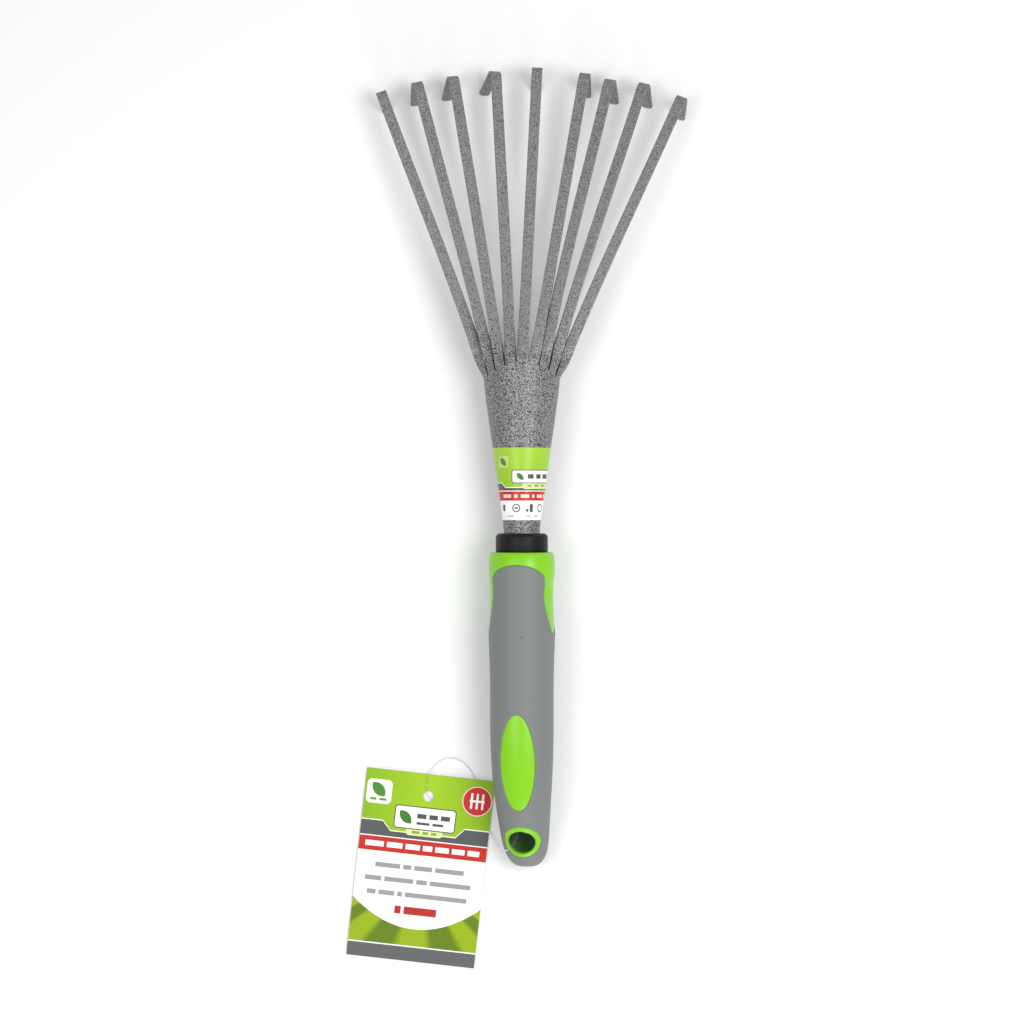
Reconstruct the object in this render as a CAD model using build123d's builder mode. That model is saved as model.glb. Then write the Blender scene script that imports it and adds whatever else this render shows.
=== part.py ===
from build123d import *
import os
from math import sin, cos, tan, radians, degrees, sqrt, pi

os.makedirs("parts", exist_ok=True)

# A hand rake lying hooks down on a floor. +Y runs from the handle's end to the tine tips, +X is to
# the right, +Z is up, and the floor is Z = 0. Everything is in millimetres.

# Tool axis: the line through the handle and the tube of the head
AXIS_X = -4.63
AXIS_Y = -185.0          # the handle's end
AXIS_Z = 21.55

# Head: one rolled sheet
SHEET = 1.3              # thickness
TUBE_R = 8.1             # outside of the rolled tube
TUBE_START = 92.0        # distance from the handle's end, hidden in the handle
FLARE_START = 157.0
FLARE_END = 234.0
FLARE_SLOPE = 0.144      # growth of the outside radius per mm
FLARE_DROP = 0.06        # fall of the roll's centre per mm
BLANK_HALF = 24.8        # half of the blank's width, measured round the roll
FRONT_ARC_R = 21.4       # the front edge of the socket in plan
FRONT_ARC_TIP = 232.0

# Tines
TINE_W = 4.9
TINE_PITCH = 5.37        # round the roll
ROOT_LENGTH = 20.0       # the twisted roots stay with the socket
ROOT_GAP = 0.3
HOOK_R = 2.5             # centre line of the bend
HOOK_TURN = 115.0
HOOK_END = 14.2          # straight end after the bend
# root distance from the handle's end, tip X and distance, outward roll of the hook
TINES = [
    (225.2, -65.3, 358.8, 0.0),
    (227.9, -48.4, 363.4, -11.5),
    (229.5, -31.7, 366.2, -17.0),
    (230.7, -12.0, 368.5, -22.0),
    (231.6, 7.2, 370.2, 0.0),
    (230.9, 29.2, 367.6, 9.0),
    (229.8, 40.7, 364.8, 16.0),
    (228.0, 56.5, 362.9, 18.0),
    (225.2, 74.1, 356.5, 11.5),
]

# Collar
COLLAR_R = 12.0
COLLAR_LENGTH = 8.7
SPIGOT_R = 10.4
SPIGOT_LENGTH = 13.0
FIT = 0.03               # clearance of the collar and the core round the tube

# Handle, rolled about the tool axis against the head
HANDLE_ROLL = 10.0
HANDLE_LENGTH = 145.7
SKIN = 2.2               # thickness of the soft sleeve
# distance from the end, half width, half height, drop of the centre
STATIONS = [
    (145.7, 14.3, 13.9, 0.0),
    (142.5, 15.0, 14.7, 0.0),
    (128.0, 14.85, 14.9, 0.0),
    (111.0, 15.15, 15.5, 0.1),
    (96.0, 14.7, 15.3, 0.1),
    (75.0, 14.45, 15.2, 0.1),
    (52.0, 14.15, 15.0, 0.7),
    (34.0, 12.95, 13.8, 3.0),
    (22.0, 11.8, 12.5, 6.2),
    (11.5, 10.6, 11.2, 10.0),
    (4.0, 8.5, 8.7, 12.7),
    (0.0, 4.2, 4.3, 13.9),
]
PANEL_TIP = 108.0        # lower end of the bare side panels
PANEL_TOP = 128.0
PANEL_HALF = 8.8
ARCH_BASE = 132.7        # the sleeve ends in an arch at the front and at the back
ARCH_HALF = 12.3
ARCH_RISE = 7.2
WINDOW_Y = 49.8          # oval window
WINDOW_HALF = (8.0, 22.3)
EYELET_Y = 12.1          # hanging hole
EYELET_V = 1.4
EYELET_TILT = 20.0
EYELET_R = 8.5
HOLE_R = 6.0

# Label round the socket
LABEL_FROM, LABEL_TO = 160.5, 193.6
LABEL_HALF_ANGLE = 95.0
LABEL_OFF = 0.06
LABEL_THICK = 0.12

# Tag, its loop and the loop's lock
TAG_SIZE = (60.0, 88.0)
TAG_THICK = 0.4
TAG_CENTRE = (-47.3, -2.2)   # from the tool axis, from the handle's end
TAG_TURN = -6.4
TAG_HOLE = 33.6              # above the middle of the card
TAG_HOLE_R = 2.5
TAG_LIFT = 0.75
LOOP_D = 0.5
LOCK_R = 0.8
LOCK_LENGTH = 3.2
# the loop's route, from the tool axis, from the handle's end, above the floor
LOOP_ROUTE = [
    (-0.4, 26.0, 0.8),
    (-1.4, 29.2, 0.6),
    (-4.2, 31.8, 0.4),
    (-8.6, 33.2, 0.27),
    (-15.5, 33.2, 0.27),
    (-24.0, 31.4, 0.27),
    (-32.5, 29.0, 0.27),
    (-38.6, 28.2, 0.27),
    (-42.2, 29.5, 0.5),
    (-44.4, 32.1, 1.7),
    (-44.7, 37.3, 1.55),
    (-43.3, 42.6, 1.5),
    (-39.6, 47.4, 0.6),
    (-33.4, 49.6, 0.27),
    (-26.8, 47.2, 0.27),
    (-22.0, 40.6, 0.27),
    (-19.4, 32.0, 0.27),
    (-17.6, 22.8, 0.27),
    (-15.0, 15.0, 0.27),
    (-12.4, 10.4, 3.0),
    (-10.4, 8.2, 8.2),
    (-9.7, 7.7, 14.2),
    (-9.4, 7.8, 18.6),
    (-8.2, 8.1, 21.4),
    (-6.0, 9.0, 22.2),
    (-4.1, 10.6, 20.0),
    (-2.9, 12.8, 15.8),
    (-1.9, 15.1, 10.2),
    (-1.0, 17.4, 5.4),
    (-0.5, 19.3, 2.4),
    (-0.4, 21.2, 1.0),
    (-0.4, 22.8, 0.8),
]


def at(x, y, z):
    """A point given from the tool axis and the handle's end."""
    return Vector(AXIS_X + x, AXIS_Y + y, AXIS_Z + z)


def flare_radius(y):
    return TUBE_R + FLARE_SLOPE * max(0.0, y - FLARE_START)


def flare_centre(y):
    return -FLARE_DROP * max(0.0, y - FLARE_START)


def roll_plane(y):
    """Section plane of the rolled sheet, local Y up."""
    return Plane(origin=at(0, y, flare_centre(y)), x_dir=(1, 0, 0), z_dir=(0, -1, 0))


def round_point(radius, angle):
    return (radius * sin(angle), radius * cos(angle))


roll = radians(HANDLE_ROLL)
SIDE = Vector(cos(roll), 0, sin(roll))       # the handle's own right
TOP = Vector(-sin(roll), 0, cos(roll))       # the handle's own top
ALONG = Vector(0, 1, 0)


def on_handle(u, y, v):
    """A point given in the handle's own rolled directions."""
    return at(0, y, 0) + SIDE * u + TOP * v


# Head socket -------------------------------------------------------------------------------------
tube_half = BLANK_HALF / TUBE_R
flare_stations = [FLARE_START + (FLARE_END - FLARE_START) * n / 7 for n in range(8)]


def rolled(level, heading, angle):
    """The width direction of a tine whose section is rolled clockwise by angle, seen from its hook."""
    up = level.cross(heading)
    return level * cos(angle) - up * sin(angle)


def hook_reach(heading, width_dir):
    """How far below its start a hook's lowest corner lies."""
    turn = radians(HOOK_TURN)
    down = width_dir.cross(heading) * -1
    ahead = HOOK_R * sin(turn) + HOOK_END * cos(turn)
    below = HOOK_R * (1 - cos(turn)) + HOOK_END * sin(turn)
    end = heading * ahead + down * below
    normal = heading * sin(turn) - down * cos(turn)
    return -end.Z + TINE_W / 2 * abs(width_dir.Z) + SHEET / 2 * abs(normal.Z)


def tine_frame(n):
    """Root centre, hook start, heading, level direction and root angle of tine n (0 to 8)."""
    root_y, tip_x, tip_y, hook_roll = TINES[n]
    middle_r = flare_radius(root_y) - SHEET / 2
    angle = (n - 4) * TINE_PITCH / flare_radius(root_y)
    root = at(middle_r * sin(angle), root_y, flare_centre(root_y) + middle_r * cos(angle))
    drop = 16.0
    for _ in range(6):
        start = Vector(AXIS_X + tip_x, AXIS_Y + tip_y, drop)
        heading = (start - root).normalized()
        start = start - heading * (HOOK_R + SHEET / 2)
        level = heading.cross(Vector(0, 0, 1)).normalized()
        width_dir = rolled(level, heading, -radians(hook_roll))
        drop = drop - (start.Z - hook_reach(heading, width_dir) - 0.02)
    return root, start, heading, level, angle


with BuildPart() as head_socket:
    with BuildSketch(roll_plane(TUBE_START)):
        with BuildLine():
            outer = ThreePointArc(round_point(TUBE_R, -tube_half), (0, TUBE_R),
                                  round_point(TUBE_R, tube_half))
            inner = ThreePointArc(round_point(TUBE_R - SHEET, -tube_half), (0, TUBE_R - SHEET),
                                  round_point(TUBE_R - SHEET, tube_half))
            Line(outer @ 0, inner @ 0)
            Line(outer @ 1, inner @ 1)
        make_face()
    extrude(amount=-(FLARE_START - TUBE_START))
    for y in flare_stations:
        half = BLANK_HALF / flare_radius(y)
        r = flare_radius(y)
        with BuildSketch(roll_plane(y)):
            with BuildLine():
                outer = ThreePointArc(round_point(r, -half), (0, r), round_point(r, half))
                inner = ThreePointArc(round_point(r - SHEET, -half), (0, r - SHEET),
                                      round_point(r - SHEET, half))
                Line(outer @ 0, inner @ 0)
                Line(outer @ 1, inner @ 1)
            make_face()
    loft()
    # the front edge is an arc in plan
    arc_y = FRONT_ARC_TIP - FRONT_ARC_R
    with BuildSketch(Plane(origin=at(0, 0, -40))):
        with BuildLine():
            edge = ThreePointArc((-FRONT_ARC_R, arc_y), (0, FRONT_ARC_TIP), (FRONT_ARC_R, arc_y))
            Polyline(edge @ 1, (FRONT_ARC_R, 80), (-FRONT_ARC_R, 80), edge @ 0)
        make_face()
    extrude(amount=80, mode=Mode.INTERSECT)
    # twisted roots of the nine tines
    for n in range(9):
        root, start, heading, level, angle = tine_frame(n)
        for s, share in ((-1.6, 1.0), (1.5, 0.97), (6.0, 0.72), (11.0, 0.34), (16.0, 0.06),
                         (ROOT_LENGTH, 0.0)):
            with BuildSketch(Plane(origin=root + heading * s, z_dir=heading,
                                   x_dir=rolled(level, heading, angle * share))):
                Rectangle(TINE_W, SHEET)
        loft()

# Tines -------------------------------------------------------------------------------------------
tines = []
for n in range(9):
    root, start, heading, level, angle = tine_frame(n)
    hook_roll = radians(TINES[n][3])
    begin = root + heading * (ROOT_LENGTH + ROOT_GAP)
    width_dir = rolled(level, heading, -hook_roll)
    down = heading.cross(width_dir) * -1
    if down.Z > 0:
        down = down * -1
    bend_plane = Plane(origin=start, x_dir=heading, z_dir=heading.cross(down))
    with BuildPart() as tine:
        with BuildSketch(Plane(origin=begin, z_dir=heading, x_dir=level)):
            Rectangle(TINE_W, SHEET)
        with BuildSketch(Plane(origin=start, z_dir=heading, x_dir=width_dir)):
            Rectangle(TINE_W, SHEET)
        loft(ruled=True)
        with BuildLine(bend_plane) as path:
            turn = radians(HOOK_TURN)
            bend = ThreePointArc((0, 0), (HOOK_R * sin(turn / 2), HOOK_R * (1 - cos(turn / 2))),
                                 (HOOK_R * sin(turn), HOOK_R * (1 - cos(turn))))
            end = bend @ 1
            Line(end, end + (bend % 1) * HOOK_END)
        with BuildSketch(Plane(origin=start, z_dir=heading, x_dir=width_dir)):
            Rectangle(TINE_W, SHEET)
        sweep(path=path.line)
    tine.part.label = f"tine_{n + 1}"
    tines.append(tine.part)

# Collar ------------------------------------------------------------------------------------------
with BuildPart() as collar:
    with BuildSketch(Plane(origin=at(0, HANDLE_LENGTH, 0), z_dir=(0, 1, 0), x_dir=(1, 0, 0))):
        Circle(COLLAR_R)
    extrude(amount=COLLAR_LENGTH)
    fillet(collar.edges().group_by(Axis.Y)[-1], 2.2)
    with BuildSketch(Plane(origin=at(0, HANDLE_LENGTH, 0), z_dir=(0, -1, 0), x_dir=(1, 0, 0))):
        Circle(SPIGOT_R)
    extrude(amount=SPIGOT_LENGTH)
    with BuildSketch(Plane(origin=at(0, HANDLE_LENGTH - 20, 0), z_dir=(0, 1, 0), x_dir=(1, 0, 0))):
        Circle(TUBE_R + FIT)
    extrude(amount=40, mode=Mode.SUBTRACT)

# Handle: the outer form, the sleeve, then the core as what is left -------------------------------
with BuildPart() as outer_form:
    for y, half_w, half_h, drop in STATIONS:
        with BuildSketch(Plane(origin=on_handle(0, y, -drop), x_dir=SIDE, z_dir=ALONG * -1)):
            Ellipse(half_w, half_h)
    loft()

with BuildPart() as core_form:
    for y, half_w, half_h, drop in STATIONS[:-1]:
        with BuildSketch(Plane(origin=on_handle(0, max(y, 4.0), -drop), x_dir=SIDE,
                               z_dir=ALONG * -1)):
            Ellipse(half_w - SKIN, half_h - SKIN)
    loft()

hole_axis = (TOP * cos(radians(EYELET_TILT)) - ALONG * sin(radians(EYELET_TILT))).normalized()
eyelet_plane = Plane(origin=on_handle(0, EYELET_Y, EYELET_V), x_dir=SIDE, z_dir=hole_axis)

with BuildPart() as grip_sleeve:
    add(outer_form.part)
    add(core_form.part, mode=Mode.SUBTRACT)
    # bare panels at both sides
    with BuildSketch(Plane(origin=on_handle(0, 0, 0), x_dir=ALONG, z_dir=SIDE)):
        with Locations((PANEL_TOP, 0)):
            Ellipse(PANEL_TOP - PANEL_TIP, PANEL_HALF)
        with Locations((PANEL_TOP + 15, 0)):
            Rectangle(30, 2 * PANEL_HALF)
    extrude(amount=30, both=True, mode=Mode.SUBTRACT)
    # the arch at the mouth
    with BuildSketch(Plane(origin=on_handle(0, 0, 0), x_dir=SIDE, z_dir=TOP)):
        with Locations((0, ARCH_BASE + 15)):
            Rectangle(60, 30)
        with Locations((0, ARCH_BASE)):
            Ellipse(ARCH_HALF, ARCH_RISE, mode=Mode.SUBTRACT)
    extrude(amount=30, both=True, mode=Mode.SUBTRACT)
    # the oval window
    with BuildSketch(Plane(origin=on_handle(0, WINDOW_Y, 6), x_dir=SIDE, z_dir=TOP)):
        Ellipse(*WINDOW_HALF)
    extrude(amount=20, mode=Mode.SUBTRACT)
    # the ring round the hanging hole
    with BuildSketch(eyelet_plane):
        Circle(EYELET_R)
    extrude(amount=40, both=True, mode=Mode.SUBTRACT)

with BuildPart() as handle_core:
    add(outer_form.part)
    add(grip_sleeve.part, mode=Mode.SUBTRACT)
    with BuildSketch(Plane(origin=at(0, TUBE_START - 1, 0), z_dir=(0, 1, 0), x_dir=(1, 0, 0))):
        Circle(TUBE_R + FIT)
    extrude(amount=80, mode=Mode.SUBTRACT)
    with BuildSketch(Plane(origin=at(0, HANDLE_LENGTH - SPIGOT_LENGTH - 0.5, 0), z_dir=(0, 1, 0),
                           x_dir=(1, 0, 0))):
        Circle(SPIGOT_R + FIT)
    extrude(amount=40, mode=Mode.SUBTRACT)
    with BuildSketch(eyelet_plane):
        Circle(HOLE_R)
    extrude(amount=40, both=True, mode=Mode.SUBTRACT)

# Label -------------------------------------------------------------------------------------------
with BuildPart() as socket_label:
    half = radians(LABEL_HALF_ANGLE)
    for n in range(5):
        y = LABEL_FROM + (LABEL_TO - LABEL_FROM) * n / 4
        low = flare_radius(y) + LABEL_OFF
        high = low + LABEL_THICK
        with BuildSketch(roll_plane(y)):
            with BuildLine():
                outer = ThreePointArc(round_point(high, -half), (0, high), round_point(high, half))
                inner = ThreePointArc(round_point(low, -half), (0, low), round_point(low, half))
                Line(outer @ 0, inner @ 0)
                Line(outer @ 1, inner @ 1)
            make_face()
    loft()

# Tag and loop ------------------------------------------------------------------------------------
turned = radians(TAG_TURN)
tag_plane = Plane(origin=(AXIS_X + TAG_CENTRE[0], AXIS_Y + TAG_CENTRE[1], TAG_LIFT),
                  x_dir=(cos(turned), sin(turned), 0), z_dir=(0, 0, 1))
with BuildPart() as hang_tag:
    with BuildSketch(tag_plane):
        Rectangle(*TAG_SIZE)
        with Locations((0, TAG_HOLE)):
            Circle(TAG_HOLE_R, mode=Mode.SUBTRACT)
    extrude(amount=TAG_THICK)

route = [Vector(AXIS_X + x, AXIS_Y + y, z) for x, y, z in LOOP_ROUTE]
radii = []
for a, b, c in zip(route, route[1:], route[2:]):
    shorter = min((b - a).length, (c - b).length)
    turn = radians((b - a).get_angle(c - b))
    radii.append(0.45 * shorter / tan(turn / 2))
print("loop radii", [round(r, 1) for r in radii])

with BuildPart() as tag_loop:
    with BuildLine():
        loop_line = FilletPolyline(*route, radius=radii)
    with BuildSketch(Plane(origin=route[0], z_dir=loop_line % 0)):
        Circle(LOOP_D / 2)
    sweep(path=loop_line)
loop_length = loop_line.length
print("loop length", round(loop_length, 1), "volume ratio",
      round(tag_loop.part.volume / (pi * LOOP_D ** 2 / 4 * loop_length), 4))

with BuildPart() as loop_lock:
    middle = (route[0] + route[-1]) * 0.5
    with BuildSketch(Plane(origin=middle, z_dir=(0, 1, 0))):
        Circle(LOCK_R)
    extrude(amount=LOCK_LENGTH / 2, both=True)
    fillet(loop_lock.edges(), 0.3)

# Export ------------------------------------------------------------------------------------------
pieces = {
    "head_socket": head_socket.part,
    "collar": collar.part,
    "handle_core": handle_core.part,
    "grip_sleeve": grip_sleeve.part,
    "socket_label": socket_label.part,
    "hang_tag": hang_tag.part,
    "tag_loop": tag_loop.part,
    "loop_lock": loop_lock.part,
}
for n, part in enumerate(tines):
    pieces[f"tine_{n + 1}"] = part
for name, part in pieces.items():
    part.label = name
    box = part.bounding_box()
    print(f"{name}: {part.volume / 1000:.2f} cm3, solids {len(part.solids())}, "
          f"x {box.min.X:.2f} {box.max.X:.2f}, y {box.min.Y:.2f} {box.max.Y:.2f}, "
          f"z {box.min.Z:.2f} {box.max.Z:.2f}")
    export_step(part, f"parts/{name}.step")
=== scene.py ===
import bpy
from math import cos, pi, radians, sin, sqrt
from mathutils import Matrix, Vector


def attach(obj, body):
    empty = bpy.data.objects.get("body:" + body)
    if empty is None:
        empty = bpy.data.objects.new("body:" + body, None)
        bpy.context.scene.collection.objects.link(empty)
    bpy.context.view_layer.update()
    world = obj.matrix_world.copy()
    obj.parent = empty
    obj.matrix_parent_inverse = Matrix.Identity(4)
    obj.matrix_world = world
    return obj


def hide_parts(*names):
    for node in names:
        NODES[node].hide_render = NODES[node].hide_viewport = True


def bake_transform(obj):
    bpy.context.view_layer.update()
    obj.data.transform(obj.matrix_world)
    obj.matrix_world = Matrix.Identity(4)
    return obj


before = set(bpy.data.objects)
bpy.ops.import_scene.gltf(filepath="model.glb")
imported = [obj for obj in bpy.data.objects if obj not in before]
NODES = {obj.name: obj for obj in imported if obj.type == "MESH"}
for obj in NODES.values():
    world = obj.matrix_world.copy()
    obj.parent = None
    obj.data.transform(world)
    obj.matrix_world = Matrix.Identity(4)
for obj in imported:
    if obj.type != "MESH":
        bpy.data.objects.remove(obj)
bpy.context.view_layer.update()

MM = 0.001          # one millimetre in metres

# ---------------------------------------------------------------- sizes, in mm as in the CAD model
AXIS = (-4.63, -185.0, 21.55)       # the handle's end, on the tool's long axis

# the rolled sheet: a tube that opens into a flare, slit into nine fingers
SHEET, TUBE_R, TUBE_START, FLARE_START = 1.3, 8.1, 92.0, 157.0
FLARE_SLOPE, FLARE_DROP = 0.144, 0.06       # how the radius grows and the centre sinks, per mm
FLARE_SOFT, FLARE_LEAD = 20.0, 12.0         # how softly, and how far ahead, the flare starts
BLANK_HALF = 24.8                           # half the width of the flat blank
FRONT_ARC_R, FRONT_ARC_TIP = 21.4, 232.0    # the arc that the slits end on

# the tines
TINE_W, TINE_PITCH, ROOT_LENGTH = 4.9, 5.37, 20.0
HOOK_R, HOOK_TURN, HOOK_END = 2.5, radians(115.0), 14.2
TIP_CLEAR = 0.02                            # hooks end this far above the floor
# each tine's root y, tip x, tip y and sideways roll of its hook in degrees
TINES = [
    (225.2, -65.3, 358.8, 0.0),
    (227.9, -48.4, 363.4, -11.5),
    (229.5, -31.7, 366.2, -17.0),
    (230.7, -12.0, 368.5, -22.0),
    (231.6, 7.2, 370.2, 0.0),
    (230.9, 29.2, 367.6, 9.0),
    (229.8, 40.7, 364.8, 16.0),
    (228.0, 56.5, 362.9, 18.0),
    (225.2, 74.1, 356.5, 11.5),
]

# handle, collar, label and card
COLLAR_R, COLLAR_LENGTH, HANDLE_LENGTH = 12.0, 8.7, 145.7
HANDLE_ROLL = radians(10.0)
BORE_R, BORE_AXIS = 6.7, Vector((-0.1632, -0.3420, 0.9254))     # the hanging hole
BORE_MIDDLE_Y, BORE_TOP_HEIGHT = 12.1, 1.4
LABEL_FROM, LABEL_TO, LABEL_HALF = 160.5, 193.6, radians(95.0)
TAG_H, TAG_CENTRE, TAG_TURN = 88.0, (-47.3, -2.2), radians(-6.4)

# the nylon loop: its route from the bead, through the card and the hanging hole, to the bead
LOOP_D = 0.5
LOOP_ROUTE = [
    (-0.4, 26.0, 0.8), (-1.4, 29.2, 0.6), (-4.2, 31.8, 0.4), (-8.6, 33.2, 0.27),
    (-15.5, 33.2, 0.27), (-24.0, 31.4, 0.27), (-32.5, 29.0, 0.27), (-38.6, 28.2, 0.27),
    (-42.2, 29.5, 0.5), (-44.4, 32.1, 1.7), (-44.7, 37.3, 1.55), (-43.3, 42.6, 1.5),
    (-39.6, 47.4, 0.6), (-33.4, 49.6, 0.27), (-26.8, 47.2, 0.27), (-22.0, 40.6, 0.27),
    (-19.4, 32.0, 0.27), (-17.6, 22.8, 0.27), (-15.0, 15.0, 0.27), (-12.4, 10.4, 3.0),
    (-10.4, 8.2, 8.2), (-9.7, 7.7, 14.2), (-9.4, 7.8, 18.6), (-8.2, 8.1, 21.4),
    (-6.0, 9.0, 22.2), (-4.1, 10.6, 20.0), (-2.9, 12.8, 15.8), (-1.9, 15.1, 10.2),
    (-1.0, 17.4, 5.4), (-0.5, 19.3, 2.4), (-0.4, 21.2, 1.0), (-0.4, 22.8, 0.8),
]

# ---------------------------------------------------------------- only in the visual mesh, in mm
BOW = (0.8, 0.6, 0.4, 0.3, 0.0, 0.2, -1.1, -0.9, -0.9)  # how far each tine bows sideways
BOW_SCALE = 6.75            # brings the highest point of u (1 - u)^2 to 1
TWIST_OUT = 18.0            # a root turns out of the round over this length
ROOT_WIDER = 0.055          # share by which a blade is wider at its root
WIDER_FROM, WIDER_OVER = 4.0, 26.0
SLIT = 0.2                  # width of the slits at the roots
SLIT_ENDS = (32.0, 22.0, 16.0, 13.0, 4.0, 46.0, 20.0, 26.0)     # how far up each blade's edge is painted with shade, so its slit looks closed
SLIT_FADE = 6.0             # that painted shade fades over this length
SPLIT, OVERLAP = 9.0, 3.0   # the socket's fingers end here, and the blades start this much lower
FINGER_PROUD = 0.06         # extra thickness of the blades, which hides the seam
CORNER = 0.45               # spacing of the two cut corners at the blank's edges


def at(x, y, z):
    """A point given from the tool axis and the handle's end, still in mm."""
    return Vector((AXIS[0] + x, AXIS[1] + y, AXIS[2] + z))


def smooth(t):
    t = min(1.0, max(0.0, t))
    return t * t * (3 - 2 * t)


# ---------------------------------------------------------------- camera
cam_data = bpy.data.cameras.new("camera")
camera = bpy.data.objects.new("camera", cam_data)
bpy.context.scene.collection.objects.link(camera)
bpy.context.scene.camera = camera
SENSOR = 36.0
CAM_DISTANCE, CAM_WIDTH = 1200.0, 470.9     # distance to the tool's axis, and the width seen there
cam_data.sensor_width = SENSOR
cam_data.lens = SENSOR * CAM_DISTANCE / CAM_WIDTH
camera.location = at(-4.52, 164.2, CAM_DISTANCE) * MM
cam_data.clip_start, cam_data.clip_end = 0.05, 20.0


# ---------------------------------------------------------------- node helpers
def new_material(name):
    mat = bpy.data.materials.new(name)
    mat.use_nodes = True
    return mat, mat.node_tree, mat.node_tree.nodes["Principled BSDF"]


def link(tree, a, b):
    tree.links.new(a, b)


def math_node(tree, op, a, b=None, c=None, clamp=False):
    node = tree.nodes.new("ShaderNodeMath")
    node.operation = op
    node.use_clamp = clamp
    for socket, value in zip(node.inputs, (a, b, c)):
        if value is None:
            continue
        if isinstance(value, (int, float)):
            socket.default_value = value
        else:
            link(tree, value, socket)
    return node.outputs[0]


def vector_node(tree, op, a, b):
    node = tree.nodes.new("ShaderNodeVectorMath")
    node.operation = op
    for socket, value in zip(node.inputs, (a, b)):
        if isinstance(value, (tuple, Vector)):
            socket.default_value = value
        else:
            link(tree, value, socket)
    return node.outputs["Value"] if op in ("DOT_PRODUCT", "DISTANCE") else node.outputs["Vector"]


def mix_colour(tree, factor, a, b):
    node = tree.nodes.new("ShaderNodeMix")
    node.data_type = "RGBA"
    link(tree, factor, node.inputs[0])
    for socket, value in ((node.inputs[6], a), (node.inputs[7], b)):
        if isinstance(value, (tuple, list)):
            socket.default_value = (*value, 1.0)
        else:
            link(tree, value, socket)
    return node.outputs[2]


def noise(tree, vector, scale, detail=2.0, rough=0.5):
    node = tree.nodes.new("ShaderNodeTexNoise")
    node.inputs["Scale"].default_value = scale
    node.inputs["Detail"].default_value = detail
    node.inputs["Roughness"].default_value = rough
    link(tree, vector, node.inputs["Vector"])
    return node.outputs[0]


def ramp(tree, value, stops):
    node = tree.nodes.new("ShaderNodeValToRGB")
    link(tree, value, node.inputs[0])
    band = node.color_ramp
    while len(band.elements) < len(stops):
        band.elements.new(0.5)
    for element, (place, colour) in zip(band.elements, stops):
        element.position = place
        element.color = (*colour, 1.0)
    return node.outputs[0]


def bump(tree, height, strength, distance, shader):
    node = tree.nodes.new("ShaderNodeBump")
    node.inputs["Strength"].default_value = strength
    node.inputs["Distance"].default_value = distance
    link(tree, height, node.inputs["Height"])
    link(tree, node.outputs[0], shader.inputs["Normal"])


def place_of(tree):
    """The place on the object, in metres."""
    return tree.nodes.new("ShaderNodeTexCoord").outputs["Object"]


def parts_of(tree, vector):
    split = tree.nodes.new("ShaderNodeSeparateXYZ")
    link(tree, vector, split.inputs[0])
    return split.outputs


def flat_place(tree):
    """The mesh's own flat coordinates, from its UV map."""
    uv = tree.nodes.new("ShaderNodeUVMap")
    uv.uv_map = "mm"
    return uv.outputs[0]


def srgb(r, g, b):
    """A colour given in 0 to 255, in the linear values that a shader takes."""
    return tuple(((v / 255 + 0.055) / 1.055) ** 2.4 if v > 10 else v / 255 / 12.92
                 for v in (r, g, b))


NONE, FULL = (0, 0, 0), (1, 1, 1)       # a mask's ends


# ---------------------------------------------------------------- materials
COAT_SHADES = srgb(82, 82, 81), srgb(155, 155, 153)
# the slit colour below is painted shade: the dark of a closed slit, painted on the blades' edges
SPECK, SLIT_PAINTED_SHADE, CALM_GREY = srgb(40, 40, 40), srgb(32, 32, 32), srgb(134, 134, 132)


def coat_material():
    """Silver-grey hammered powder coat with fine dark specks; a UV map says where shade is painted
    on the blades' edges beside the slits.
    """
    mat, tree, shader = new_material("steel_coat")
    place = place_of(tree)
    speck = noise(tree, place, 1350.0, 1.5, 0.55)
    grain = noise(tree, place, 2100.0, 1.0, 0.5)
    base = ramp(tree, grain, [(0.36, COAT_SHADES[0]), (0.62, COAT_SHADES[1])])
    dark = ramp(tree, speck, [(0.38, FULL), (0.46, NONE)])
    colour = mix_colour(tree, dark, base, SPECK)
    # the coat lies smoother along the blades than on the socket
    calm = ramp(tree, parts_of(tree, place)[1], [(0.045, NONE), (0.075, (0.34, 0.34, 0.34))])
    colour = mix_colour(tree, calm, colour, CALM_GREY)
    # painted shade: the blades' edges beside the slits are darkened, as a closed slit would look
    edge = ramp(tree, parts_of(tree, flat_place(tree))[0], [(0.70, NONE), (0.80, FULL)])
    colour = mix_colour(tree, edge, colour, SLIT_PAINTED_SHADE)
    link(tree, colour, shader.inputs["Base Color"])
    shader.inputs["Metallic"].default_value = 0.2
    shader.inputs["Roughness"].default_value = 0.45
    shader.inputs["Specular IOR Level"].default_value = 0.4
    bump(tree, speck, 0.35, 0.2 * MM, shader)
    return mat


def plastic(name, colour, roughness, bumpiness=0.0, specular=0.45):
    """Moulded plastic, with a fine grain where bumpiness isn't 0."""
    mat, tree, shader = new_material(name)
    shader.inputs["Base Color"].default_value = (*colour, 1.0)
    shader.inputs["Roughness"].default_value = roughness
    shader.inputs["Specular IOR Level"].default_value = specular
    if bumpiness:
        bump(tree, noise(tree, place_of(tree), 2500.0, 2.0), bumpiness, 0.1 * MM, shader)
    return mat


def paint_shade_in_bore(mat, top, colour, painted_shadow):
    """Paints shade down the wall of the hanging hole: the colour deepens with depth, standing in
    for the shadow inside it.
    """
    tree, shader = mat.node_tree, mat.node_tree.nodes["Principled BSDF"]
    away = vector_node(tree, "SUBTRACT", place_of(tree), top * MM)
    depth = vector_node(tree, "DOT_PRODUCT", away, BORE_AXIS)
    length2 = vector_node(tree, "DOT_PRODUCT", away, away)
    minus_depth = math_node(tree, "MULTIPLY", depth, -1.0)
    off_axis2 = math_node(tree, "MULTIPLY_ADD", depth, minus_depth, length2)
    near = math_node(tree, "LESS_THAN", math_node(tree, "SQRT", off_axis2), BORE_R * MM)
    down = math_node(tree, "MULTIPLY_ADD", depth, -240.0, 0.1, clamp=True)
    link(tree, mix_colour(tree, math_node(tree, "MULTIPLY", near, down), colour, painted_shadow),
         shader.inputs["Base Color"])


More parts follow.
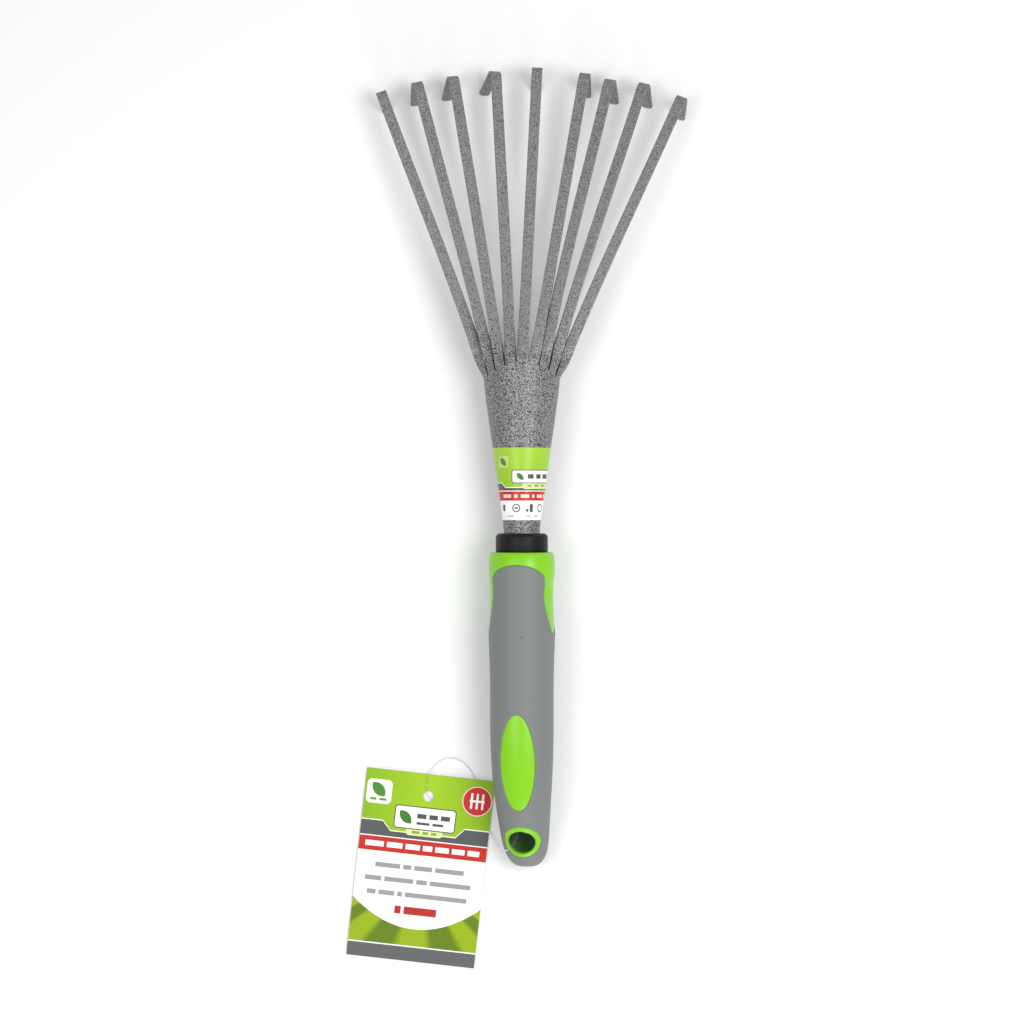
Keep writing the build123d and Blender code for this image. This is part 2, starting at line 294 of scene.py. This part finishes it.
def gate_mark(mat, place, radius, colour, dark):
    """The small round mark a moulding gate leaves."""
    tree, shader = mat.node_tree, mat.node_tree.nodes["Principled BSDF"]
    far = vector_node(tree, "DISTANCE", place_of(tree), place * MM)
    share = math_node(tree, "MULTIPLY", far, 0.5 / (radius * MM))
    spot = ramp(tree, share, [(0.35, FULL), (0.5, NONE)])
    link(tree, mix_colour(tree, spot, colour, dark), shader.inputs["Base Color"])


class Print:
    """Flat printed shapes; x runs right and y down in mm, from a UV map or from a placed corner."""

    def __init__(self, name, base, roughness, place=None):
        self.mat, self.tree, self.shader = new_material(name)
        flat = flat_place(self.tree) if place is None else self.from_corner(*place)
        self.x, self.y = parts_of(self.tree, flat)[:2]
        self.colour = base
        self.shader.inputs["Roughness"].default_value = roughness
        self.shader.inputs["Specular IOR Level"].default_value = 0.3

    def from_corner(self, corner, turn):
        mapping = self.tree.nodes.new("ShaderNodeMapping")
        mapping.vector_type = "TEXTURE"
        mapping.inputs["Location"].default_value = corner * MM
        mapping.inputs["Rotation"].default_value = (0, 0, turn)
        mapping.inputs["Scale"].default_value = (MM, -MM, MM)
        link(self.tree, place_of(self.tree), mapping.inputs["Vector"])
        return mapping.outputs[0]

    def calc(self, op, a, b=None, c=None):
        return math_node(self.tree, op, a, b, c)

    def band(self, value, low, high):
        return self.calc("COMPARE", value, (low + high) / 2, (high - low) / 2)

    def rect(self, x0, x1, y0, y1):
        return self.calc("MULTIPLY", self.band(self.x, x0, x1), self.band(self.y, y0, y1))

    def within(self, dx, dy, r):
        far = self.calc("SQRT", self.calc("MULTIPLY_ADD", dx, dx, self.calc("MULTIPLY", dy, dy)))
        return self.calc("LESS_THAN", far, r)

    def disc(self, cx, cy, r):
        return self.within(self.calc("SUBTRACT", self.x, cx), self.calc("SUBTRACT", self.y, cy), r)

    def ring(self, cx, cy, outer, inner):
        return self.calc("SUBTRACT", self.disc(cx, cy, outer), self.disc(cx, cy, inner))

    def rounded(self, x0, x1, y0, y1, r):
        """A rectangle with round corners."""
        past = []
        for value, low, high in ((self.x, x0, x1), (self.y, y0, y1)):
            off = self.calc("ABSOLUTE", self.calc("SUBTRACT", value, (low + high) / 2))
            off = self.calc("SUBTRACT", off, (high - low) / 2 - r)
            past.append(self.calc("MAXIMUM", off, 0.0))
        return self.within(*past, r)

    def leaf(self, cx, cy, length, width):
        """A leaf on the slant: the overlap of two discs."""
        r = (length * length / 4 + width * width / 4) / width
        off = (r - width / 2) / sqrt(2)
        return self.calc("MULTIPLY", self.disc(cx + off, cy - off, r),
                         self.disc(cx - off, cy + off, r))

    def slope(self, x_full, x_zero, height):
        """0 beyond x_zero, height beyond x_full, a slope in between."""
        k = 1 / (x_full - x_zero)
        rise = math_node(self.tree, "MULTIPLY_ADD", self.x, k, -x_zero * k, clamp=True)
        return self.calc("MULTIPLY", rise, height)

    def put(self, mask, colour):
        self.colour = mix_colour(self.tree, mask, self.colour, colour)

    def only_on_top(self, back):
        """Keeps the print to the side that faces up."""
        normal = self.tree.nodes.new("ShaderNodeTexCoord").outputs["Normal"]
        self.put(self.calc("LESS_THAN", parts_of(self.tree, normal)[2], 0.5), back)

    def done(self):
        link(self.tree, self.colour, self.shader.inputs["Base Color"])
        return self.mat


LIME = srgb(150, 194, 16)
WHITE, INK, RED, BAND = srgb(240, 241, 239), srgb(74, 77, 76), srgb(196, 40, 36), srgb(82, 86, 85)
GAP = 1.4           # between two printed bars
FAR = 60            # beyond either side of a print


def bars(p, rows, colour):
    """Plain printed bars in place of lines of text: (start, end, top, bottom, list of gaps)."""
    for x0, x1, y0, y1, gaps in rows:
        edges = [x0] + [g for gap in gaps for g in (gap - GAP / 2, gap + GAP / 2)] + [x1]
        for a, b in zip(edges[::2], edges[1::2]):
            p.put(p.rect(a, b, y0, y1), colour)


def label_material():
    """The film's print, laid out in mm from the middle of its upper edge."""
    p = Print("label_print", LIME, 0.32)
    glow = p.calc("MULTIPLY_ADD", p.y, -0.028, 0.75)
    p.colour = mix_colour(p.tree, glow, srgb(140, 184, 32), srgb(162, 202, 58))
    # green field: a small picture, a dark step and a plate
    p.put(p.rounded(-12.4, -6.4, 3.8, 9.2, 0.8), srgb(176, 206, 120))
    p.put(p.leaf(-9.4, 6.5, 4.8, 2.5), srgb(84, 124, 44))
    edge = p.calc("SUBTRACT", p.y, p.slope(-8.2, -10.6, 2.1))
    p.put(p.calc("GREATER_THAN", edge, 15.9), WHITE)
    p.put(p.calc("GREATER_THAN", edge, 16.3), BAND)
    p.put(p.rounded(0.2, 15.0, 15.4, 18.9, 1.4), srgb(206, 224, 150))
    bars(p, [(2.4, 12.6, 16.9, 17.8, [5.2, 9.0])], srgb(120, 158, 60))
    p.put(p.rounded(-4.8, 17.9, 10.1, 16.3, 1.0), INK)
    p.put(p.rounded(-4.4, 17.5, 10.5, 15.9, 0.8), WHITE)
    p.put(p.leaf(-0.8, 13.2, 4.4, 2.3), srgb(62, 116, 38))
    bars(p, [(2.6, 15.6, 12.1, 14.2, [6.2, 10.2])], INK)
    # red strip
    p.put(p.rect(-FAR, FAR, 19.6, 20.0), WHITE)
    p.put(p.rect(-FAR, FAR, 20.0, 24.2), RED)
    bars(p, [(-9.6, 18.0, 21.4, 22.9, [-4.4, -1.2, 4.1, 6.7, 12.0])], srgb(240, 214, 210))
    # white field with plain marks
    p.put(p.rect(-FAR, FAR, 24.2, 40), WHITE)
    p.put(p.ring(-2.6, 27.6, 1.9, 1.35), INK)
    p.put(p.rect(-3.4, -1.8, 27.2, 28.0), INK)
    p.put(p.rounded(3.6, 5.2, 25.7, 29.5, 0.6), INK)
    p.put(p.disc(2.4, 28.6, 0.7), INK)
    p.put(p.ring(9.8, 27.6, 1.9, 1.35), INK)
    p.put(p.rounded(-10.4, -8.6, 26.0, 29.0, 0.5), INK)
    bars(p, [(-7.2, -3.6, 31.0, 31.5, []), (1.8, 8.6, 31.0, 31.5, [5.0])], srgb(150, 152, 151))
    return p.done()


def tag_material():
    """The card's print, laid out in mm from the middle of its upper edge."""
    up = Vector((-sin(TAG_TURN), cos(TAG_TURN), 0))
    middle = Vector((AXIS[0] + TAG_CENTRE[0], AXIS[1] + TAG_CENTRE[1], 0))
    p = Print("tag_print", LIME, 0.38, (middle + up * (TAG_H / 2), TAG_TURN))
    # painted shade: the card's green darkens towards its left and right edges
    shade = p.calc("MULTIPLY", p.calc("ABSOLUTE", p.x), 1 / 46)
    p.colour = mix_colour(p.tree, shade, srgb(156, 196, 24), srgb(118, 162, 8))
    # header: small picture at the left, a plate in the middle, a round spot at the right
    p.put(p.rounded(-29.0, -17.2, 4.9, 16.2, 2.2), srgb(236, 240, 226))
    p.put(p.leaf(-23.4, 9.6, 8.6, 5.0), srgb(70, 134, 44))
    bars(p, [(-27.0, -19.4, 13.6, 14.7, [-23.4])], srgb(96, 140, 60))
    dip = p.calc("SUBTRACT", p.slope(-16.0, -20.0, 4.4), p.slope(18.6, 14.6, 4.4))
    edge = p.calc("SUBTRACT", p.y, dip)
    p.put(p.calc("GREATER_THAN", edge, 23.6), WHITE)
    p.put(p.calc("GREATER_THAN", edge, 24.1), BAND)
    p.put(p.rounded(-8.8, 8.4, 24.6, 29.4, 1.6), srgb(214, 230, 160))
    bars(p, [(-6.0, 5.6, 27.2, 28.4, [-1.6, 2.4])], srgb(120, 160, 50))
    p.put(p.rounded(-14.9, 14.0, 15.6, 26.6, 1.6), INK)
    p.put(p.rounded(-14.4, 13.5, 16.1, 26.1, 1.2), WHITE)
    p.put(p.leaf(-9.6, 21.1, 8.0, 4.4), srgb(58, 122, 36))
    bars(p, [(-4.2, 11.2, 19.0, 21.2, [0.8, 6.2]), (-4.2, 8.4, 22.9, 24.1, [2.6])], INK)
    p.put(p.disc(22.9, 10.3, 7.0), srgb(232, 206, 200))
    p.put(p.disc(22.9, 10.3, 6.5), RED)
    for k in (-2.6, 0.0, 2.6):
        p.put(p.rounded(22.4 + k, 23.4 + k, 6.6, 14.0, 0.4), WHITE)
    p.put(p.rect(19.4, 26.4, 9.8, 10.8), WHITE)
    # red strip
    p.put(p.rect(-FAR, FAR, 31.0, 31.5), WHITE)
    p.put(p.rect(-FAR, FAR, 31.5, 38.2), srgb(190, 40, 26))
    bars(p, [(-27.0, 26.6, 33.6, 36.1, [-17.6, -8.8, -0.6, 5.2, 13.0, 20.4])], WHITE)
    # meadow below, with a pale field above its arc
    down = p.calc("DIVIDE", p.x, p.calc("SUBTRACT", p.y, 47.0))
    stripe = p.calc("COSINE", p.calc("MULTIPLY", down, 6.8))
    stripe = math_node(p.tree, "MULTIPLY_ADD", stripe, 1.2, 0.5, clamp=True)
    blades = p.calc("MULTIPLY", p.calc("SINE", p.calc("MULTIPLY", p.y, 5.2)), 0.12)
    grass = mix_colour(p.tree, math_node(p.tree, "ADD", stripe, blades, clamp=True),
                       srgb(94, 122, 16), srgb(146, 174, 18))
    p.put(p.rect(-FAR, FAR, 38.2, 100), grass)
    arc = p.calc("MULTIPLY_ADD", p.calc("MULTIPLY", p.x, p.x), 0.0139, p.y)
    field = p.calc("MULTIPLY", p.rect(-FAR, FAR, 38.2, 80), p.calc("LESS_THAN", arc, 73.0))
    p.put(field, WHITE)
    p.put(p.rect(-FAR, FAR, 80.9, 81.5), WHITE)
    p.put(p.rect(-FAR, FAR, 81.5, 100), srgb(94, 96, 97))
    bars(p, [(-21.2, 20.4, 43.4, 45.6, [-8.8, -3.6, 6.2]),
             (-25.4, 24.2, 49.8, 52.0, [-17.0, -2.0, 4.4]),
             (-23.8, 23.0, 56.2, 58.4, [-19.0, -10.2, -6.6])], srgb(150, 152, 152))
    bars(p, [(-10.0, 9.6, 62.8, 66.4, [-6.4])], srgb(178, 44, 38))
    p.only_on_top(srgb(226, 226, 222))
    return p.done()


GREEN_BASE, GREY_BASE = srgb(126, 196, 16), srgb(114, 119, 118)
HANDLE_UP = Vector((-sin(HANDLE_ROLL), 0, cos(HANDLE_ROLL)))
BORE_TOP = at(0, BORE_MIDDLE_Y, 0) + HANDLE_UP * BORE_TOP_HEIGHT
GATE_PLACE, GATE_R = at(-0.1, 107.2, 15.5), 0.8

COAT = coat_material()
GREEN = plastic("green_plastic", GREEN_BASE, 0.33, 0.05)
# painted shade: the hanging hole's wall turns deep green with depth
paint_shade_in_bore(GREEN, BORE_TOP, GREEN_BASE, srgb(20, 84, 2))
GREY = plastic("grey_grip", GREY_BASE, 0.55, 0.12)
gate_mark(GREY, GATE_PLACE, GATE_R, GREY_BASE, srgb(92, 96, 95))
BLACK = plastic("black_plastic", srgb(10, 10, 11), 0.5, 0.06, specular=0.25)
LABEL = label_material()
TAG = tag_material()
NYLON = plastic("clear_nylon", srgb(246, 248, 247), 0.12)
nylon_shader = NYLON.node_tree.nodes["Principled BSDF"]
nylon_shader.inputs["Transmission Weight"].default_value = 0.9
nylon_shader.inputs["IOR"].default_value = 1.52


# ---------------------------------------------------------------- mesh helpers
def make_object(name, points, faces, material, uv=None):
    """points in mm; uv gives one pair per point, in mm."""
    mesh = bpy.data.meshes.new(name)
    mesh.from_pydata([tuple(v * MM for v in p) for p in points], [], faces)
    if uv:
        layer = mesh.uv_layers.new(name="mm")
        for loop in mesh.loops:
            layer.data[loop.index].uv = uv[loop.vertex_index]
    mesh.validate()
    mesh.update()
    obj = bpy.data.objects.new(name, mesh)
    bpy.context.scene.collection.objects.link(obj)
    mesh.materials.append(material)
    return obj


def shade(obj, angle=35.0):
    obj.data.polygons.foreach_set("use_smooth", [True] * len(obj.data.polygons))
    obj.data.set_sharp_from_angle(angle=radians(angle))


def apply_modifiers(obj):
    """Turns the modifiers' result into the object's own mesh."""
    graph = bpy.context.evaluated_depsgraph_get()
    mesh = bpy.data.meshes.new_from_object(obj.evaluated_get(graph))
    obj.modifiers.clear()
    obj.data = mesh


def grid_faces(rows, cols):
    """The faces of a grid of points given row by row."""
    return [(r * cols + c, r * cols + c + 1, (r + 1) * cols + c + 1, (r + 1) * cols + c)
            for r in range(rows - 1) for c in range(cols - 1)]


def thicken(obj, thickness, bevel):
    """Makes a sheet of the given thickness out of a surface, with rounded edges."""
    solid = obj.modifiers.new("thickness", "SOLIDIFY")
    solid.thickness = thickness * MM
    solid.offset = 0.0
    solid.use_even_offset = True
    edge = obj.modifiers.new("edge", "BEVEL")
    edge.width = bevel * MM
    edge.segments = 2
    edge.limit_method = "ANGLE"
    edge.angle_limit = radians(50)
    apply_modifiers(obj)
    shade(obj, 40)


# ---------------------------------------------------------------- the rolled sheet and its tines
def flare(y):
    """Outside radius and centre height of the roll, with a soft start of the flare."""
    t = y - FLARE_START
    g = 0.5 * (t + sqrt(t * t + FLARE_SOFT)) if t > -FLARE_LEAD else 0.0
    return TUBE_R + FLARE_SLOPE * g, -FLARE_DROP * g


def on_roll(s, y, lift=0.0):
    """A point of the sheet's middle: s mm round the roll at y from the handle's end."""
    r, c = flare(y)
    angle, middle = s / r, r - SHEET / 2 + lift
    return at(middle * sin(angle), y, c + middle * cos(angle))


def front_y(s):
    """Where the slits end, s mm round the roll."""
    y = 225.0
    for _ in range(6):
        r, _sunk = flare(y)
        x = (r - SHEET / 2) * sin(s / r)
        y = FRONT_ARC_TIP - FRONT_ARC_R + sqrt(max(FRONT_ARC_R ** 2 - x * x, 1.0))
    return y


def rolled(level, heading, angle):
    """The direction across a tine, rolled by angle about its heading."""
    up = level.cross(heading)
    return level * cos(angle) - up * sin(angle)


def hook_reach(heading, width_dir):
    """How far below its start a hook's lowest corner lies."""
    down = heading.cross(width_dir)
    ahead = HOOK_R * sin(HOOK_TURN) + HOOK_END * cos(HOOK_TURN)
    below = HOOK_R * (1 - cos(HOOK_TURN)) + HOOK_END * sin(HOOK_TURN)
    end = heading * ahead + down * below
    normal = heading * sin(HOOK_TURN) - down * cos(HOOK_TURN)
    return -end.z + TINE_W / 2 * abs(width_dir.z) + SHEET / 2 * abs(normal.z)


def tine_frame(n):
    """Root, start of the hook, heading, level direction across, and the root's angle on the roll.

    The slope is found in a few steps, so that the hook ends just above the floor.
    """
    root_y, tip_x, tip_y, hook_roll = TINES[n]
    r = TUBE_R + FLARE_SLOPE * (root_y - FLARE_START)
    angle = (n - 4) * TINE_PITCH / r
    middle = r - SHEET / 2
    root = at(middle * sin(angle), root_y,
              -FLARE_DROP * (root_y - FLARE_START) + middle * cos(angle))
    drop = 16.0
    for _ in range(6):
        start = Vector((AXIS[0] + tip_x, AXIS[1] + tip_y, drop))
        heading = (start - root).normalized()
        start = start - heading * (HOOK_R + SHEET / 2)
        level = heading.cross(Vector((0, 0, 1))).normalized()
        width_dir = rolled(level, heading, -radians(hook_roll))
        drop = drop - (start.z - hook_reach(heading, width_dir) - TIP_CLEAR)
    return root, start, heading, level, angle


tine_frame_of = [tine_frame(n) for n in range(len(TINES))]
HALF = TINE_W / 2
ACROSS = [-HALF + TINE_W * k / 6 for k in range(7)]     # seven points across a blade


def blade_point(n, d, q):
    """The middle of blade n, d mm from its root and q mm across."""
    root, start, heading, level, angle = tine_frame_of[n]
    length = (start - root).length
    past_root = max(0.0, (d - ROOT_LENGTH) / (length - ROOT_LENGTH))
    twist = angle * (1 - smooth(d / TWIST_OUT)) - radians(TINES[n][3]) * past_root
    u = min(1.0, d / length)
    sideways = level * (BOW[n] * BOW_SCALE * u * (1 - u) ** 2)
    wide = 1 + ROOT_WIDER * (1 - smooth((d - WIDER_FROM) / WIDER_OVER))
    return root + heading * d + sideways + rolled(level, heading, twist) * (q * wide)


def round_roll(n, q):
    """Where a point q mm across finger n lies round the roll."""
    return (n - 4) * TINE_PITCH + q * (TINE_PITCH - SLIT) / TINE_W


def root_point(n, q, d):
    """Past the slits' ends: from the roll's surface over to the blade."""
    s = round_roll(n, q)
    on_surface = on_roll(s, front_y(s) + d)
    root = tine_frame_of[n][0]
    along = d + (front_y(s) - (root.y - AXIS[1])) * (1 - smooth(d / 8.0))
    return on_surface.lerp(blade_point(n, along, q), smooth((d + 1.0) / 7.0))


def painted_slit_shade(n, q, d):
    """Painted shade: 1 on a blade's edge beside a slit, where the closed slit is painted dark,
    fading as the slit opens.
    """
    inside = abs(q) < HALF - 0.01
    outermost = (n, q > 0) in ((0, False), (len(TINES) - 1, True))
    if inside or outermost or d < 0.3:
        return 0.0
    end = SLIT_ENDS[n if q > 0 else n - 1]
    return 1.0 - smooth((d - end + SLIT_FADE) / SLIT_FADE)


def build_socket():
    """The rolled sheet, with the first SPLIT mm of its nine fingers."""
    columns = [-BLANK_HALF, -BLANK_HALF + CORNER]
    columns += [round_roll(n, q) for n in range(len(TINES)) for q in ACROSS]
    columns += [BLANK_HALF - CORNER, BLANK_HALF]
    width, rows, steps = len(columns), 96, 14
    cut = {0: 1.3, 1: 0.5, width - 2: 0.5, width - 1: 1.3}      # rounds the blank's two corners
    points = []
    for r in range(rows):
        for k, s in enumerate(columns):
            end = front_y(s) - cut.get(k, 0.0)
            points.append(on_roll(s, TUBE_START + (end - TUBE_START) * r / (rows - 1)))
    # the UV map's first value carries the shade painted beside the slits
    slit = [(0.0, 0.0)] * len(points)
    faces = grid_faces(rows, width)
    for n in range(len(TINES)):
        previous = [(rows - 1) * width + 2 + len(ACROSS) * n + k for k in range(len(ACROSS))]
        for step in range(1, steps + 1):
            d = SPLIT * step / steps
            current = [len(points) + k for k in range(len(ACROSS))]
            points += [root_point(n, q, d) for q in ACROSS]
            slit += [(painted_slit_shade(n, q, d), 0.0) for q in ACROSS]
            faces += [(previous[k], previous[k + 1], current[k + 1], current[k])
                      for k in range(len(ACROSS) - 1)]
            previous = current
    obj = make_object("rolled_socket", points, faces, COAT, slit)
    thicken(obj, SHEET, 0.18)
    return obj


def build_tine(n):
    """A blade from its root to the end of its hook."""
    root, start, heading, level, _angle = tine_frame_of[n]
    length = (start - root).length
    # the UV map's first value carries the shade painted beside the slits
    points, slit = [], []
    d = SPLIT - OVERLAP
    while d < length - 1.0:
        points += [root_point(n, q * 1.012, d) for q in ACROSS]
        slit += [(painted_slit_shade(n, q, d), 0.0) for q in ACROSS]
        d += 0.75 if d < ROOT_LENGTH else 1.5
    width_dir = rolled(level, heading, -radians(TINES[n][3]))
    down = heading.cross(width_dir)

    def on_bend(a):
        return start + heading * (HOOK_R * sin(a)) + down * (HOOK_R * (1 - cos(a)))

    bend_steps, leg_steps = 12, 8
    for k in range(bend_steps + 1):
        points += [on_bend(HOOK_TURN * k / bend_steps) + width_dir * q for q in ACROSS]
    onward = heading * cos(HOOK_TURN) + down * sin(HOOK_TURN)
    for k in range(1, leg_steps + 1):
        round_off = 0.8 if k == leg_steps else 0.0      # the leg's end has round corners
        for q in ACROSS:
            reach = HOOK_END * k / leg_steps - round_off * (abs(q) / HALF) ** 5
            points.append(on_bend(HOOK_TURN) + onward * reach + width_dir * q)
    slit += [(0.0, 0.0)] * (len(points) - len(slit))
    faces = grid_faces(len(points) // len(ACROSS), len(ACROSS))
    obj = make_object(f"blade_{n + 1}", points, faces, COAT, slit)
    thicken(obj, SHEET + FINGER_PROUD, 0.22)
    return obj


socket = build_socket()
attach(socket, "rake")
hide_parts("head_socket")
for n in range(len(TINES)):
    blade = build_tine(n)
    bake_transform(blade)
    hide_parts(f"tine_{n + 1}")


# ---------------------------------------------------------------- collar
def build_collar():
    """A ring turned from its profile of (radius, place along the axis)."""
    top, below = HANDLE_LENGTH + COLLAR_LENGTH, HANDLE_LENGTH - 6
    bore, spigot, rim, around = TUBE_R + 0.05, 10.4, 2.0, 96
    profile = [(bore, below), (bore, top - 0.5), (TUBE_R + 0.3, top - 0.1)]
    for k in range(9):
        a = pi / 2 * k / 8
        profile.append((COLLAR_R - rim + rim * sin(a), top - rim + rim * cos(a)))
    profile += [(COLLAR_R, HANDLE_LENGTH + 0.45), (COLLAR_R - 0.15, HANDLE_LENGTH + 0.1),
                (COLLAR_R - 0.5, HANDLE_LENGTH + 0.02), (spigot, HANDLE_LENGTH + 0.02),
                (spigot, below)]
    turns = [2 * pi * c / around for c in range(around)]
    points = [at(r * sin(a), y, r * cos(a)) for r, y in profile for a in turns]
    faces = []
    for r in range(len(profile)):
        ring, onward = r * around, (r + 1) % len(profile) * around
        for c in range(around):
            beside = (c + 1) % around
            faces.append((ring + c, ring + beside, onward + beside, onward + c))
    obj = make_object("neck_collar", points, faces, BLACK)
    shade(obj, 50)
    return obj


collar = build_collar()
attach(collar, "rake")
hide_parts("collar")


# ---------------------------------------------------------------- handle
VOXEL, SMOOTHING = 0.4, 4
FLOOR_CLEAR = 0.02                              # the grip's belly stays this far above the floor
PANEL_START, PANEL_END = (90, 6), (131, 8)      # where the side panels sink in: from, over
CORE_R = 12.3                                   # all that lies further out is a panel


def moulded(node, name, material, proud, inset):
    """A copy of a CAD part with the soft edges of a moulding; inset sinks its side panels."""
    obj = bpy.data.objects.new(name, NODES[node].data.copy())
    bpy.context.scene.collection.objects.link(obj)
    obj.data.transform(NODES[node].matrix_world)
    remesh = obj.modifiers.new("remesh", "REMESH")
    remesh.mode = "VOXEL"
    remesh.voxel_size = VOXEL * MM
    smoother = obj.modifiers.new("smooth", "SMOOTH")
    smoother.factor = 0.5
    smoother.iterations = SMOOTHING
    if proud:
        swell = obj.modifiers.new("swell", "DISPLACE")
        swell.mid_level = 0.0
        swell.strength = proud * MM
    apply_modifiers(obj)
    for vertex in obj.data.vertices:
        if inset:
            x, y, z = (v / MM - a for v, a in zip(vertex.co, AXIS))
            far = sqrt(x * x + z * z)
            if far > CORE_R:
                rise, fall = ((y - a) / over for a, over in (PANEL_START, PANEL_END))
                shrink = 1 - inset * smooth(rise) * (1 - smooth(fall)) / far
                vertex.co.x, vertex.co.z = (AXIS[0] + x * shrink) * MM, (AXIS[2] + z * shrink) * MM
        vertex.co.z = max(vertex.co.z, FLOOR_CLEAR * MM)
    obj.data.materials.clear()
    obj.data.materials.append(material)
    obj.data.polygons.foreach_set("use_smooth", [True] * len(obj.data.polygons))
    return obj


for node, name, material, slot, proud, inset in (
        ("grip_sleeve", "soft_grip", GREY, "grey_grip", 0.16, 0.0),
        ("handle_core", "green_core", GREEN, "green_plastic", 0.0, 0.4)):
    piece = moulded(node, name, material, proud, inset)
    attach(piece, "rake")
    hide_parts(node)


# ---------------------------------------------------------------- label
LABEL_FILM, LABEL_LIFT = 0.1, 0.07      # the film's thickness, and its middle above the steel


def build_label():
    """A film that follows the flare, its UV map in mm from the middle of its upper edge."""
    rows, cols = 23, 81
    points, uv = [], []
    for r in range(rows):
        y = LABEL_TO - (LABEL_TO - LABEL_FROM) * r / (rows - 1)
        radius, _sunk = flare(y)
        for c in range(cols):
            along = radius * (-LABEL_HALF + 2 * LABEL_HALF * c / (cols - 1))
            points.append(on_roll(along, y, SHEET / 2 + LABEL_LIFT))
            uv.append((along, LABEL_TO - y))
    obj = make_object("printed_label", points, grid_faces(rows, cols), LABEL, uv)
    solid = obj.modifiers.new("thickness", "SOLIDIFY")
    solid.thickness = LABEL_FILM * MM
    solid.offset = 0.0
    apply_modifiers(obj)
    shade(obj, 60)
    return obj


label = build_label()
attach(label, "rake")
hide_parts("socket_label")


# ---------------------------------------------------------------- card, bead and nylon loop
tag, lock = NODES["hang_tag"], NODES["loop_lock"]
for part, material in ((tag, TAG), (lock, NYLON)):
    for slot in part.material_slots:
        slot.material = material

curve = bpy.data.curves.new("nylon_loop", "CURVE")
curve.dimensions = "3D"
curve.bevel_depth = LOOP_D / 2 * MM
curve.bevel_resolution = 4
curve.resolution_u = 12
spline = curve.splines.new("NURBS")
spline.points.add(len(LOOP_ROUTE) - 1)
for point, (x, y, z) in zip(spline.points, LOOP_ROUTE):
    point.co = ((AXIS[0] + x) * MM, (AXIS[1] + y) * MM, z * MM, 1.0)
spline.order_u = 3
spline.use_endpoint_u = True
loop = bpy.data.objects.new("nylon_loop", curve)
bpy.context.scene.collection.objects.link(loop)
curve.materials.append(NYLON)
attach(loop, "rake")
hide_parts("tag_loop")

# ---------------------------------------------------------------- floor and light
floor_mat, _tree, floor_shader = new_material("floor")
floor_shader.inputs["Base Color"].default_value = (0.86, 0.86, 0.86, 1)
floor_shader.inputs["Roughness"].default_value = 0.9
floor_shader.inputs["Specular IOR Level"].default_value = 0.1
floor_mesh = bpy.data.meshes.new("floor")
FLOOR = 6
floor_mesh.from_pydata([(x * FLOOR, y * FLOOR, 0) for x, y in ((-1, -1), (1, -1), (1, 1), (-1, 1))],
                       [], [(0, 1, 2, 3)])
floor_mesh.materials.append(floor_mat)
floor = bpy.data.objects.new("floor", floor_mesh)
bpy.context.scene.collection.objects.link(floor)

world = bpy.data.worlds.new("world")
bpy.context.scene.world = world
world.use_nodes = True
world.node_tree.nodes["Background"].inputs[0].default_value = (1, 1, 1, 1)
world.node_tree.nodes["Background"].inputs[1].default_value = 0.55


def area_light(name, place, target, size, power):
    """A round soft light at place, all in metres, that points at target."""
    data = bpy.data.lights.new(name, "AREA")
    data.shape = "DISK"
    data.size = size
    data.energy = power
    obj = bpy.data.objects.new(name, data)
    obj.location = place
    obj.rotation_euler = (Vector(target) - Vector(place)).to_track_quat("-Z", "Y").to_euler()
    bpy.context.scene.collection.objects.link(obj)


area_light("key", (0.36, 0.0, 0.78), (0, -0.02, 0.02), 0.46, 3.6)
area_light("fill", (-0.38, -0.06, 0.82), (0, -0.02, 0.02), 0.44, 2.2)
area_light("low", (0.15, -1.1, 0.42), (0, 0.17, 0.01), 0.7, 4.5)
bpy.context.scene.view_settings.view_transform = "Standard"
